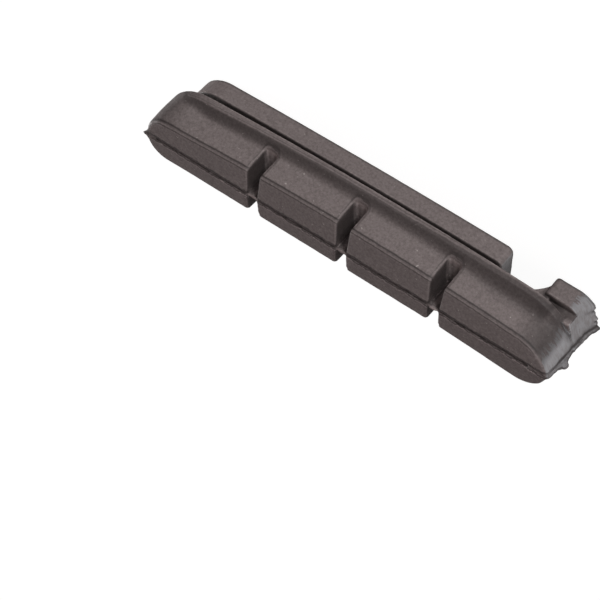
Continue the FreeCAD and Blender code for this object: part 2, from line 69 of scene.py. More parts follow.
# The ends of the body, its friction face and its sides, which flare out from the walls' foot to the lip.
NOSE_REACH = 27.5
HEEL_REACH = 27.5
HEEL_SLANT = 20.5
HEEL_LEAN = 0.4
WIDEST = 1.4
FACE_SLOPE = 7.1
FACE_EDGE = 0.28
WALL_LEAN = 0.24
FLARE_POWER = 1.75
FLARE_EASE = 0.16
NOSE_BLEND = 20.5
NOSE_BLEND_RUN = 5.5

# The grooves across the body, with the flash that bridges them, and the one along its ridge.
GROOVE_COUNT = 3
GROOVE_PITCH = 12.3
GROOVE_WIDTH = 1.45
GROOVE_SLANT = 7.5
GROOVE_FLOOR = LIP_TOP + 0.5
GROOVE_ROUNDING = 0.55
LAST_GROOVE = HEEL_REACH - 13.75
WEB_HALF = 0.2
PARTING_HALF = 0.45
PARTING_PLACE = 0.12
PARTING_DEPTH = 0.34

# The outlines of the friction face and of the lip: how far they reach to each side and to the nose, the
# bulging side's radius, the angles of the straight side's two runs and of the blunt nose, and the corners'
# roundings. The straight side bends in the last groove.
BEND = LAST_GROOVE - GROOVE_WIDTH / 2
FACE = {"front": 4.0, "radius": 310.0, "back": 3.1, "nose_run": 0.0, "heel_run": 4.2,
        "nose": NOSE_REACH - 0.6, "blunt": 3.0,
        "nose_front": 1.8, "nose_back": 2.5, "heel_front": 3.0, "heel_back": 2.4}
RIM = {"front": 5.66, "radius": 380.0, "back": 5.35, "nose_run": 0.8, "heel_run": 0.8,
       "nose": NOSE_REACH, "blunt": 10.0,
       "nose_front": 4.4, "nose_back": 4.2, "heel_front": 4.0, "heel_back": 4.2}

# The rail with its neck, and the stop block with the ramp that leads up to it.
RAIL_FRONT = 4.75
RAIL_BACK = 4.5
RAIL_RADIUS = 750.0
RAIL_NOSE = NOSE_REACH - 6.4
STOP_PLACE = HEEL_REACH - 5.0
RAIL_HEEL = STOP_PLACE - 5.3
RAIL_HEEL_SLANT = 4.0
RAIL_CORNER = 0.7
SLOT_DEPTH = 1.05
NECK_HALF = (RAIL_FRONT + RAIL_BACK) / 2 - SLOT_DEPTH
NECK_MIDDLE = (RAIL_FRONT - RAIL_BACK) / 2
STOP_HALF = 4.275
STOP_TAPER = 0.02
STOP_CORNER = 0.5
STOP_HEEL_CORNER = 1.0
STOP_NECK_INSET = 0.4
RAMP_LENGTH = 4.6
RAMP_HEIGHT = 2.9

# How far a part runs into the one that it is joined to.
OVERLAP = 0.4
STOP_OVERLAP = 0.3

# How far the skin stands out beyond all these sizes, and how rough it is.
GROWTH = 0.05
ROUGHNESS = 0.022

# Spacing of the samples along X, Y and Z, the margin round the pad, which keeps the samples' layers out of
# its flat faces, the value that fills a sample, and the triangles that are left of the mesh.
STEP = np.array((0.14, 0.1, 0.11)) * 1.0
MARGIN = 1.438
JUST_INSIDE = -0.001
TRIANGLES = 190000

# A spacing of the noise's knots so wide that the noise is nearly even along that axis.
EVEN = 90

# How far out from the skin free room is looked for, for the painted shade in slots, a distance at which no
# painted line shows, and a place well short of all scuffs and of the painted glare on the nose.
OPEN_REACH = (0.35, 0.8, 1.3)
FAR = 3
CLEAR_OF_SCUFF_AND_GLARE = -9

# Colours of the rubber. The deepest is painted shade, the scuff grey is worn rubber at the heel and the
# rail's end and painted glare on the nose, and the palest is a painted sheen and glare.
PAINTED_SHADE = (0.012, 0.0085, 0.008)
DARK = (0.101, 0.084, 0.082)
LIGHT = (0.175, 0.149, 0.146)
SPECK = (0.3, 0.27, 0.26)
SCUFF_AND_GLARE = (0.156, 0.149, 0.15)
PAINTED_SHEEN = (0.21, 0.211, 0.22)

# Half the floor's width in metres, its own light, and that light's share of what the camera sees of it.
FLOOR_HALF = 1.5
FLOOR_GLOW = 1.24
FLOOR_GLOW_SHARE = 0.75

# The light from all round, and each lamp's place and width in metres and its power in watts.
SKY = (1, 0.9, 0.895, 1)
SKY_STRENGTH = 0.34
LAMPS = {
    "key": ((0.26, 0.52, 0.07), 0.14, 2.5),
    "heel": ((0.60, 0.12, 0.05), 0.16, 0.85),
    "nose": ((-0.55, -0.2, 0.06), 0.12, 2.6),
}

# The photograph's viewpoint, worked out from the pad's own edges in it: focal length and width in pixels,
# place in millimetres, and the directions to the camera's right and behind it.
PHOTO_FOCAL = 1677
PHOTO_WIDTH = 600
SENSOR_WIDTH = 36
CAMERA_PLACE = (59.18, 147.69, 102.97)
CAMERA_RIGHT = (0.80116, 0.03275, -0.59755)
CAMERA_BEHIND = (0.32212, 0.81792, 0.4767)


def axes():
    """Sample places along X, Y and Z, shaped to spread over the whole grid."""
    low = np.array(CAD_BOX[0]) / MM - MARGIN
    high = np.array(CAD_BOX[1]) / MM + MARGIN
    runs = [np.arange(a, b, s, dtype=np.float32) for a, b, s in zip(low, high, STEP)]
    return runs[0][:, None, None], runs[1][None, :, None], runs[2][None, None, :]


X, Y, Z = axes()
LOW = np.array([run.ravel()[0] for run in (X, Y, Z)])


def tan(angle):
    return math.tan(math.radians(angle))


def smooth(value):
    """An eased step from 0 to 1."""
    value = np.clip(value, 0, 1)
    return value * value * (3 - 2 * value)


def follow(value, *stops):
    """A value looked up between stops, each a place and what it gives there."""
    return np.interp(value, *zip(*stops))


def facet(angle, reach, x=X, y=Y):
    """Distance beyond an upright facet whose normal stands at an angle from X, through (reach, 0)."""
    c, s = math.cos(math.radians(angle)), math.sin(math.radians(angle))
    return x * c + y * s - reach * c


def wedge(angle, reach):
    """Distance beyond two upright facets that meet in an edge at (reach, 0)."""
    return np.maximum(facet(angle, reach), facet(-angle, reach))


def meet(a, b, radius):
    """The solid inside both, with a round edge of that radius where they meet."""
    corner = np.hypot(np.maximum(a + radius, 0), np.maximum(b + radius, 0))
    return np.minimum(np.maximum(a, b), -radius) + corner


def join(a, b, radius):
    """The solid inside either, with a fillet of that radius between them."""
    return -meet(-a, -b, radius)


def cut(a, b, radius):
    """The solid a without b, with a round edge of that radius along the cut."""
    return meet(a, -b, radius)


def noise(spacing, seed):
    """Smooth noise from -1 to 1 over the whole grid, with that many millimetres between its knots."""
    random = np.random.default_rng(seed)
    weights = []
    for run, gap in zip((X, Y, Z), spacing):
        place = (run.ravel() - run.ravel()[0]) / gap
        knot = np.floor(place).astype(int)
        share = smooth(place - knot)
        weight = np.zeros((len(place), knot.max() + 2), np.float32)
        weight[np.arange(len(place)), knot] = 1 - share
        weight[np.arange(len(place)), knot + 1] = share
        weights.append(weight)
    knots = random.uniform(-1, 1, [w.shape[1] for w in weights]).astype(np.float32)
    spread = np.tensordot(weights[0], knots, (1, 0))
    spread = np.einsum("jb,ibc->ijc", weights[1], spread, optimize=True)
    return np.einsum("kc,ijc->ijk", weights[2], spread, optimize=True).astype(np.float32)


def outline(size):
    """The pad seen from above at one height: an arc along the bulging side, two lines along the other."""
    bulging = np.hypot(X - WIDEST, Y - (size["front"] - size["radius"])) - size["radius"]
    nose_run = facet(-90 - size["nose_run"], 0, X - BEND, Y + size["back"])
    heel_run = facet(-90 - size["heel_run"], 0, X - BEND, Y + size["back"])
    lean = HEEL_LEAN * (RIDGE - Z) / RIDGE
    halves = []
    for name, turn, along in (("front", 1, bulging), ("back", -1, np.minimum(nose_run, heel_run))):
        heel = facet(turn * HEEL_SLANT, HEEL_REACH) - lean
        nose = facet(180 - turn * size["blunt"], -size["nose"])
        heel_corner = meet(along, heel, size["heel_" + name])
        halves.append(np.maximum(heel_corner, meet(along, nose, size["nose_" + name])))
    return np.where(Y > 0, *halves)


def flare_share():
    """How far the side has moved out from the face to the rim at each height: hollow beside the walls and
    eased at the lip, but in one straight slope at the nose."""
    fine = np.linspace(Z.min(), Z.max(), 4000)
    climb = np.clip((fine - LIP_TOP) / (WALL_FOOT - LIP_TOP), 0, 1)
    hollow = (1 - climb) ** FLARE_POWER
    ease = np.ones(int(FLARE_EASE / (fine[1] - fine[0])))
    hollow = np.convolve(hollow, ease / ease.sum(), mode="same")
    hollow[fine < LIP_TOP - FLARE_EASE] = 1
    hollow = np.interp(Z.ravel(), fine, hollow)[None, None, :].astype(np.float32)
    straight = np.clip((RIDGE - Z) / (RIDGE - LIP_TOP), 0, 1)
    return hollow + (straight - hollow) * smooth((-X - NOSE_BLEND) / NOSE_BLEND_RUN)


def walls():
    """Distance beyond the sides of the body, from the lip up to the friction face."""
    share = flare_share()
    lean = WALL_LEAN * np.clip((RIDGE - Z) / (RIDGE - WALL_FOOT), 0, 1)
    return (outline(FACE) - lean) * (1 - share) + outline(RIM) * share


def slopes():
    """Distance above the two slopes of the friction face, the same all along the pad."""
    return (Z - RIDGE + np.abs(Y) * tan(FACE_SLOPE)) * math.cos(math.radians(FACE_SLOPE)) + 0 * X


def body(around, top):
    """Lip, hollow flare, walls and the two slopes, with a crisp bevel along the friction face."""
    bevel = (around + top + FACE_EDGE) * math.sqrt(0.5)
    solid = meet(meet(around, top, 0.05), bevel, 0.04)
    return meet(solid, BACK - LIP_BACK - Z, 0.07)


def groove(index):
    """A cross groove: upright wall to the heel, a wall to the nose that falls back, and a round bottom.
    Gives its middle too."""
    heel_wall = LAST_GROOVE - index * GROOVE_PITCH
    slant = np.where(Y > 0, tan(GROOVE_SLANT), tan(GROOVE_SLANT / 4))
    half = (GROOVE_WIDTH + np.maximum(np.abs(Y) - WEB_HALF, 0) * slant) / 2
    middle = heel_wall - half
    return meet(np.abs(X - middle) - half, GROOVE_FLOOR - Z, GROOVE_ROUNDING), middle


def rail(inset, low, high):
    """The rail, or its neck when drawn in by inset. Its nose is half a circle, as wide as the rail is
    there."""
    front, back = RAIL_FRONT - inset, RAIL_BACK - inset
    reach = RAIL_RADIUS - inset
    bulging = np.hypot(X, Y - (front - reach)) - reach
    sides = np.maximum(bulging, -Y - back)
    half = (front + back) / 2 - RAIL_NOSE ** 2 / (2 * (2 * reach - front - back))
    nose = np.hypot(X + RAIL_NOSE, Y + back - half) - half
    flat = np.where(X < -RAIL_NOSE, nose, sides)
    flat = meet(flat, wedge(RAIL_HEEL_SLANT, RAIL_HEEL), RAIL_CORNER)
    return meet(meet(flat, low - Z, 0.18), Z - high, 0.12)


def heel_end():
    """Distance beyond the two facets of the heel, which lean out a little towards the back and end there in
    ragged lobes of flash."""
    lean = HEEL_LEAN * (RIDGE - Z) / RIDGE
    lobes = follow(Y, (-4.4, 0.1), (-3.8, 0.3), (-2.6, 0.35), (-1.9, 0.25), (-1.2, 0.35), (0.2, 0.45),
                   (1.5, 0.55), (2.1, 0.45), (2.5, 0.3), (2.9, 0.6), (3.5, 0.6), (4.0, 0.25), (4.3, 0))
    lobes = lobes.astype(np.float32) * np.exp(-((Z - 0.1) / 1.1) ** 2)
    ragged = 1 + noise((0.6, 0.35, 0.6), 62) * 0.35 * np.exp(-(Z / 0.7) ** 2)
    return wedge(HEEL_SLANT, HEEL_REACH) - lean - lobes * ragged


def stop_block():
    """The block behind the rail, undercut like it, with the hollow ramp that leads up to it."""
    end = heel_end()
    half = STOP_HALF - STOP_TAPER * (X - STOP_PLACE)
    head = meet(np.abs(Y) - half, STOP_PLACE - X, STOP_CORNER)
    head = meet(head, end, STOP_HEEL_CORNER)
    head = meet(meet(head, -Z, 0.2), Z - RAIL_THICKNESS, 0.12)
    into_body = Z - BACK - STOP_OVERLAP
    sides = np.abs(Y - NECK_MIDDLE) - NECK_HALF
    neck = np.maximum(sides + STOP_NECK_INSET, np.maximum(STOP_PLACE - X, end))
    neck = np.maximum(neck, np.maximum(RAIL_THICKNESS - STOP_OVERLAP - Z, into_body))
    radius = (RAMP_LENGTH ** 2 + RAMP_HEIGHT ** 2) / (2 * RAMP_HEIGHT)
    hollow = radius - np.hypot(X - STOP_PLACE + RAMP_LENGTH, Z - BACK + radius)
    ends = np.maximum(STOP_PLACE - RAMP_LENGTH - X, X - STOP_PLACE - STOP_CORNER)
    ramp = meet(np.maximum(hollow, np.maximum(ends, into_body)), sides, 0.2)
    return join(join(head, neck, 0.12), ramp, 0.15)


def parting_wander():
    """How far the parting line strays from Y = 0 along the pad."""
    return noise((2.4, EVEN, EVEN), 3) * 0.04 + noise((0.7, EVEN, EVEN), 4) * 0.02


def parting(solid, wander):
    """The groove along the ridge where the mould halves met, steep to the bulging side and torn at its
    foot."""
    across = Y - PARTING_PLACE - wander
    foot = RIDGE - PARTING_DEPTH + noise((0.6, EVEN, EVEN), 5) * 0.05
    steep = PARTING_DEPTH / (PARTING_HALF * 0.75)
    gentle = PARTING_DEPTH / PARTING_HALF
    front = (foot + across * steep - Z) / math.hypot(1, steep)
    back = (foot - across * gentle - Z) / math.hypot(1, gentle)
    return cut(solid, np.maximum(front, back), 0.03)


def flash(solid, wander):
    """A thin fin in the parting plane, which stands out of the nose, the heel end and the backs by a ragged
    amount, and lies torn in the foot of the groove along the ridge."""
    rough = noise((0.9, EVEN, 0.9), 11) * 0.6 + noise((0.35, EVEN, 0.35), 12) * 0.4
    at_nose = (X < 1.5 - NOSE_REACH) & (Z > 6)
    at_heel = X > HEEL_REACH - 2.5
    on_rail = (Z < RAIL_THICKNESS + 0.05) & (X < HEEL_REACH - 4)
    heel_fin = 0.22 + 0.14 * rough + 0.42 * np.exp(-((Z - 6.3) / 0.75) ** 2)
    proud = np.where(at_nose, 0.22, (0.1 + 0.18 * np.clip(rough, -0.6, 1)) * 0.5)
    proud = np.where(on_rail, -1, np.where(at_heel, heel_fin, proud))
    thick = np.where(at_heel, 0.26, 0.11) + noise((0.5, EVEN, 0.5), 13) * 0.04
    return np.maximum(np.abs(Y + 0.05 - wander) - thick, solid - proud)


def lump(place, radii):
    """A blunt scrap of flash: a rounded block about a place."""
    x, y, z = ((run - at) / radius for run, at, radius in zip((X, Y, Z), place, radii))
    return (np.cbrt(np.abs(x) ** 3 + np.abs(y) ** 3 + np.abs(z) ** 3) - 1) * min(radii)


def scraps(top):
    """Torn flash at the nose tip, the heel end and the rail's end."""
    ragged = noise((0.45, 0.45, 0.45), 61) * 0.1
    reach = np.maximum(-X - FACE["nose"] + 0.25, 0)
    tip = (np.abs(Y) / 0.9 + (RIDGE - Z) / 1.4 + reach / 0.75 - 1) * 0.4
    tip = np.maximum(np.maximum(tip, X + (NOSE_REACH - 2)), top + 0.05)
    heel = lump((HEEL_REACH + 0.4, -0.1, 6.4), (0.4, 0.25, 0.5))
    rail_end = lump((RAIL_HEEL + 0.1, 1.2, 2.9), (0.4, 0.4, 0.4))
    return np.minimum(tip, np.minimum(heel, rail_end) + ragged)


def webs():
    """The flash that bridges each groove, with a torn upper edge."""
    pieces = []
    for index in range(GROOVE_COUNT):
        middle = LAST_GROOVE - index * GROOVE_PITCH - GROOVE_WIDTH / 2
        torn = RIDGE - 0.25 + noise((0.4, EVEN, 0.5), 40 + index) * 0.16
        half = WEB_HALF + noise((0.7, EVEN, 0.7), 50 + index) * 0.05
        piece = np.maximum(np.abs(Y) - half, np.abs(X - middle) - GROOVE_WIDTH / 2 - OVERLAP)
        pieces.append(np.maximum(piece, np.maximum(Z - torn, GROOVE_FLOOR - OVERLAP - Z)))
    return np.min(pieces, 0)


def pad_field(around, top, wander):
    """The whole moulding, before the roughness of its skin. The grooves' edges are sharpest to the heel and
    roundest on the straight side. The flat back is drawn in, so that no roughness sinks below the floor."""
    solid = body(around, top)
    solid = np.where(X > HEEL_REACH - 3.5, meet(solid, heel_end(), 0.1), solid)
    for index in range(GROOVE_COUNT):
        space, middle = groove(index)
        edge = np.where(Y < -2.4, 0.35, np.where(X < middle, 0.22, 0.1))
        solid = cut(solid, space, edge)
    solid = parting(solid, wander)
    solid = join(solid, webs(), 0.06)
    neck = rail(SLOT_DEPTH, RAIL_THICKNESS - OVERLAP, BACK + OVERLAP)
    solid = join(solid, join(rail(0, 0, RAIL_THICKNESS), neck, 0.1), 0.1)
    solid = join(solid, stop_block(), 0.1)
    solid = join(solid, flash(solid, wander), 0.08)
    solid = join(solid, scraps(top), 0.08)
    return meet(solid - GROWTH, ROUGHNESS - Z, 0.1)


def settle(field):
    """Fills a sample wherever the signs of four neighbours make a checkerboard, so that no edge of the mesh
    has four faces."""
    low, high = slice(None, -1), slice(1, None)
    clean = False
    while not clean:
        clean = True
        for axis in range(3):
            sheet = np.moveaxis(field, axis, 0)
            inside = sheet < 0
            first, second = inside[:, low, low], inside[:, low, high]
            paired = (first == inside[:, high, high]) & (second == inside[:, high, low])
            for i, j, k in np.argwhere(paired & (first != second)):
                corners = ((i, j, k), (i, j + 1, k + 1), (i, j, k + 1), (i, j + 1, k))
                outside = [corner for corner in corners if sheet[corner] >= 0]
                if outside:
                    sheet[min(outside, key=lambda corner: sheet[corner])] = JUST_INSIDE
                clean = False
    return field


def net(field):
    """Points and quads of a closed surface where the field is zero: one point in each cell that it
    crosses."""
    shape = np.array(field.shape)
    cells, places, quads = [], [], []
    for axis in range(3):
        turn = [np.eye(3, dtype=int)[(axis + step) % 3] for step in (1, 2)]
        near = np.moveaxis(field, axis, 0)[:-1]
        far = np.moveaxis(field, axis, 0)[1:]
        at = np.argwhere((near < 0) != (far < 0))
        start = near[tuple(at.T)]
        share = start / (start - far[tuple(at.T)])
        order = [axis] + [other for other in range(3) if other != axis]
        at = at[:, np.argsort(order)]
        point = at.astype(float)
        point[:, axis] += share
        ring = np.stack([at, at - turn[0], at - turn[0] - turn[1], at - turn[1]], 1)
        number = ring @ np.array((shape[1] * shape[2], shape[2], 1))
        quads.append(np.where((start < 0)[:, None], number, number[:, ::-1]))
        cells.append(number.ravel())
        places.append(np.repeat(point, 4, 0))
    cells, places, quads = np.concatenate(cells), np.concatenate(places), np.concatenate(quads)
    kept, index = np.unique(cells, return_inverse=True)
    count = np.bincount(index)
    points = np.stack([np.bincount(index, places[:, k]) / count for k in range(3)], 1)
    return points * STEP + LOW, np.searchsorted(kept, quads)


def sample(field, points):
    """A field's value at each point, blended from the eight samples round it."""
    place = np.clip((points - LOW) / STEP, 0, np.array(field.shape) - 1.001)
    cell = np.floor(place).astype(int)
    share = place - cell
    total = np.zeros(len(points))
    for corner in itertools.product((0, 1), repeat=3):
        weight = np.prod(np.where(corner, share, 1 - share), axis=1)
        total += weight * field[tuple((cell + corner).T)]
    return total


def vertices(mesh):
    """Places of the mesh's vertices, in millimetres, and their normals."""
    found = []
    for run, key in ((mesh.vertices, "co"), (mesh.vertex_normals, "vector")):
        values = np.empty(len(run) * 3)
        run.foreach_get(key, values)
        found.append(values.reshape(-1, 3))
    return found[0] / MM, found[1]


def openness(points, normals, solid, around):
    """How free the room before each vertex is, from 0 in a closed slot to 1 on open skin, which sets its
    painted shade. Faces turned to the heel count as more closed, for more painted shade, and faces turned
    up as more open."""
    free = [np.clip(sample(solid, points + normals * reach) / reach, 0, 1) for reach in OPEN_REACH]
    free = np.mean(free, 0)
    turned = np.clip(normals[:, 0], 0, 1) * 0.7 - np.clip(normals[:, 2], 0, 1) * 0.25
    free = free - turned * (1 - free)
    depth = np.maximum(smooth(-sample(around, points) / OPEN_REACH[-1]), smooth(normals[:, 0] * 3 - 1))
    return 1 + (free - 1) * depth


def end_shade(x, heel):
    """Painted shade on the side towards the nose, and in the hollow before the worn heel end."""
    heel_shade = follow(heel, (-4.5, 1), (-3.4, 0.85), (-2.5, 0.55), (-1.5, 0.34), (-1.0, 0.22),
                       (-0.5, 0.4), (-0.2, 1))
    nose_shade = follow(x + NOSE_REACH, (0.7, 1), (1.1, 0.5), (2.3, 0.5), (3.3, 0.66), (4.5, 0.8),
                       (6.5, 0.95), (8.0, 1))
    return heel_shade * nose_shade


def groove_light_and_shade(points, normals, around, gap):
    """Painted light on the grooves' floors and webs, less painted shade on the walls that face the heel."""
    in_groove = smooth(1 - np.abs(gap) / 0.3)
    inside = smooth((-sample(around, points) - 0.1) / 0.4)
    low = smooth((RIDGE - 2.25 - points[:, 2]) / 0.8) * (points[:, 1] > 0.4)
    bottom = in_groove * inside * low * smooth(3.5 * normals[:, 2])
    wall = in_groove * smooth((normals[:, 0] - 0.6) * 5)
    web = (gap < -0.08) * smooth(2 - np.abs(points[:, 1]) / 0.25)
    return 1.7 * bottom + 1.3 * web - 0.22 * wall


def stop_shade(points, normals, heel):
    """Painted shade on the stop block's sides and in its undercut."""
    x, y, z = points.T
    neck = (z > RAIL_THICKNESS) * smooth((NECK_HALF + 0.3 - np.abs(y)) / 0.2) * (normals[:, 0] < 0.6)
    undercut = neck * smooth(1.6 - np.abs(z - RAIL_THICKNESS - 0.3) / 0.6)
    head_side = (z < RAIL_THICKNESS) * smooth((np.abs(normals[:, 1]) - 0.6) * 5)
    by_corner = smooth(1 - np.abs(heel + 0.6) / 0.35)
    return (x > STOP_PLACE) * (0.6 * undercut + head_side * (0.12 + 0.2 * by_corner))


def scuff_and_glare(points, normals, heel, on_side):
    """How far each vertex lies beyond where the scuffs of the heel end and the rail's end start, and, on
    the nose, beyond where a painted glare starts on the faces turned away from the heel."""
    x, z = points[:, 0], points[:, 2]
    to_heel = normals[:, 0]
    rail_end = (np.abs(x - RAIL_HEEL) < 0.5) & (z < RAIL_THICKNESS) & (to_heel > 0.9)
    aside = (1 - on_side) * (to_heel < np.where(z < RAIL_THICKNESS, 0.12, 0.6))
    # Painted glare on the nose's faces turned away from the heel, chosen by their normals.
    nose = np.where(x < 7.5 - NOSE_REACH, (-to_heel - 0.93) * 12, CLEAR_OF_SCUFF_AND_GLARE)
    return np.where(x < 0, nose, np.where(rail_end, 0.3, heel) - 0.9 * aside)


def shade(mesh, solid, around, top, wander):
    """Gives each vertex the values that the rubber's colour follows, most of them for painted shade and
    painted highlight. Some are distances in millimetres: level from the lip, rim from the grooves, rear
    from the flat back's edge, brim from the friction face's edge, seam from the parting line and heel from
    where the scuffs and the nose's painted glare start. The others are masks and factors."""
    points, normals = vertices(mesh)
    x, y, z = points.T
    on_side = smooth(1 - np.abs(sample(around - GROWTH, points)) / 0.2) * smooth((z - BACK + 0.6) / 0.2)
    rise = z - LIP_TOP - follow(x, (-20, 0.1), (-5, -0.2), (6, -0.2), (18, -0.5))
    rise = rise * follow(x, (-20, 1.25), (-5, 1), (6, 1), (18, 0.5)) - 0.2
    lined = smooth(np.minimum((HEEL_REACH - 1.8 - x) / 2, (x + NOSE_REACH - 0.5) / 3))
    gap = np.min([sample(groove(index)[0], points) for index in range(GROOVE_COUNT)], 0)
    arris = smooth(1.3 - np.abs(gap) / 0.4) * smooth((z - RIDGE + 1.15) / 0.5)
    heel = sample(heel_end(), points)
    before_heel = 1 - smooth((heel + 1.6) / 0.8) * (x > 0)
    at_tip = smooth((x - HEEL_REACH + 0.7) / 0.3)
    ends = 1 + (end_shade(x, heel) - 1) * on_side
    in_grooves = groove_light_and_shade(points, normals, around, gap)
    torn = Y - wander + noise((0.35, EVEN, EVEN), 71) * 0.06 * (Y < 0.1) + 0 * Z
    under = np.stack((x, y, np.full(len(x), 0.8)), 1)
    # Painted shade: open in slots, level in the lip's hollow flare, ends toward the nose, before the heel,
    # on the grooves' heel-facing walls and on the stop block. Painted light: sharp on edges, ends on groove
    # floors and webs, and lines of highlight and shade in level, rim, brim and seam. heel also carries the
    # nose's painted glare.
    values = {
        "open": openness(points, normals, solid, around),
        "sharp": (1 + sample(solid, points - normals * 0.25) / 0.25) * (1 - 0.75 * arris),
        "level": FAR + (rise - FAR) * on_side * lined,
        "ends": ends * (1 + in_grooves - stop_shade(points, normals, heel)),
        "rim": FAR + (gap - FAR) * on_side,
        "rear": np.maximum(z, -sample(solid, under)),
        "brim": sample(around - top, points),
        "skin": smooth(1 + sample(np.maximum(around, top), points) / 0.2) * before_heel,
        "seam": sample(torn, points),
        "ridge": np.maximum(smooth(1 + sample(top, points) / 0.8), 0.8 * at_tip),
        "heel": scuff_and_glare(points, normals, heel, on_side),
    }
    for name, value in values.items():
        mesh.attributes.new(name, "FLOAT", "POINT").data.foreach_set("value", value.astype(np.float32))


def build_pad():
    """The mesh object of the pad, thinned out where it is flat."""
    around, top, wander = walls(), slopes(), parting_wander()
    solid = pad_field(around, top, wander)
    skin = (noise((1.1, 1.1, 1.1), 21) * 0.55 + noise((0.45, 0.45, 0.45), 22) * 0.45) * ROUGHNESS
    points, quads = net(settle((solid + skin).astype(np.float32)))
    mesh = bpy.data.meshes.new("pad_insert")
    mesh.from_pydata((points * MM).tolist(), [], quads.tolist())
    piece = bpy.data.objects.new("pad_insert", mesh)
    bpy.context.scene.collection.objects.link(piece)
    share = TRIANGLES / (2 * len(quads))
    if share < 1:
        thin = piece.modifiers.new("thin", "DECIMATE")
        thin.ratio = share
        bpy.context.view_layer.objects.active = piece
        bpy.ops.object.modifier_apply(modifier="thin")
    mesh = piece.data
    mesh.polygons.foreach_set("use_smooth", [True] * len(mesh.polygons))
    shade(mesh, solid, around, top, wander)
    print("pad", len(quads), "quads", len(mesh.polygons), "faces")
    return piece


class Paint:
    """Short names for the nodes of one material."""

    def __init__(self, name):
        self.material = bpy.data.materials.new(name)
        self.material.use_nodes = True
        self.tree = self.material.node_tree
        self.shader = self.tree.nodes["Principled BSDF"]
        self.place = self.tree.nodes.new("ShaderNodeTexCoord").outputs["Object"]

    def link(self, source, socket):
        self.tree.links.new(source, socket)

    def stretched(self, scale):
        """The object's own place, stretched along each axis."""
        node = self.tree.nodes.new("ShaderNodeMapping")
        node.inputs["Scale"].default_value = scale
        self.link(self.place, node.inputs["Vector"])
        return node.outputs["Vector"]

    def grain(self, scale, detail=4, rough=0.6, place=None):
        """Noise, with that many blotches to the metre."""
        node = self.tree.nodes.new("ShaderNodeTexNoise")
        node.inputs["Scale"].default_value = scale
        node.inputs["Detail"].default_value = detail
        node.inputs["Roughness"].default_value = rough
        self.link(place or self.place, node.inputs["Vector"])
        return node.outputs["Fac"]

    def value(self, name):
        """One of the mesh's own values."""
        node = self.tree.nodes.new("ShaderNodeAttribute")
        node.attribute_name = name
        return node.outputs["Fac"]

    def curve(self, source, *stops):
        """A value looked up between stops, each a place and what it gives there. The node stops at 1, so it
        holds halves, which are doubled after it."""
        node = self.tree.nodes.new("ShaderNodeFloatCurve")
        low, high = stops[0][0], stops[-1][0]
        spread = self.tree.nodes.new("ShaderNodeMapRange")
        spread.inputs["From Min"].default_value = low
        spread.inputs["From Max"].default_value = high
        self.link(source, spread.inputs["Value"])
        points = node.mapping.curves[0].points
        for index, (at, gives) in enumerate(stops):
            share = (at - low) / (high - low)
            point = points[index] if index < 2 else points.new(share, gives / 2)
            point.location = (share, gives / 2)
            point.handle_type = "VECTOR"
        node.mapping.update()
        self.link(spread.outputs["Result"], node.inputs["Value"])
        return self.math("MULTIPLY", node.outputs["Value"], 2.0)

    def strayed(self, name, grain, amount):
        """One of the mesh's own values, moved to and fro by noise."""
        stray = self.math("MULTIPLY", self.math("SUBTRACT", grain, 0.5), amount)
        return self.math("ADD", self.value(name), stray)

    def masked(self, factor, name):
        """A factor that counts only where one of the mesh's values is 1."""
        change = self.math("MULTIPLY", self.math("SUBTRACT", factor, 1.0), self.value(name))
        return self.math("ADD", 1.0, change)

    def math(self, operation, *terms):
        """One sum or product of sockets and numbers."""
        node = self.tree.nodes.new("ShaderNodeMath")
        node.operation = operation
        for socket, term in zip(node.inputs, terms):
            if isinstance(term, (int, float)):
                socket.default_value = term
            else:
                self.link(term, socket)
        return node.outputs[0]

    def mix(self, factor, first, second):
        """A colour between two, each a socket or a colour."""
        node = self.tree.nodes.new("ShaderNodeMix")
        node.data_type = "RGBA"
        self.link(factor, node.inputs["Factor"])
        for socket, colour in ((node.inputs["A"], first), (node.inputs["B"], second)):
            if isinstance(colour, tuple):
                socket.default_value = colour + (1,)
            else:
                self.link(colour, socket)
        return node.outputs["Result"]


def rubber_colour(paint):
    """Mottled brown-grey with a few light specks, worn grey at the heel end and the rail's end with a
    painted sheen where that wear starts, and a painted glare in the same two greys on the nose's faces
    turned away from the heel.
    """
    mottled = paint.curve(paint.grain(3300, 5, 0.7), (0.33, 0.0), (0.67, 1.0))
    specks = paint.curve(paint.grain(2300, 2, 0.5), (0.715, 0.0), (0.75, 1.0))
    colour = paint.mix(specks, paint.mix(mottled, DARK, LIGHT), SPECK)
    streaks = paint.grain(1.0, 3, 0.6, paint.stretched((900, 900, 4200)))
    reach = paint.strayed("heel", streaks, 2.2)
    # Worn grey at the heel and the rail's end, painted glare on the nose, and painted sheen where the wear
    # starts.
    scuff_and_glare_share = paint.curve(reach, (-0.75, 0.0), (-0.45, 0.9), (0.5, 1.0))
    painted_sheen = paint.curve(reach, (-0.75, 0.0), (-0.5, 0.9), (-0.15, 0.7), (0.3, 0.0))
    return paint.mix(painted_sheen, paint.mix(scuff_and_glare_share, colour, SCUFF_AND_GLARE), PAINTED_SHEEN)


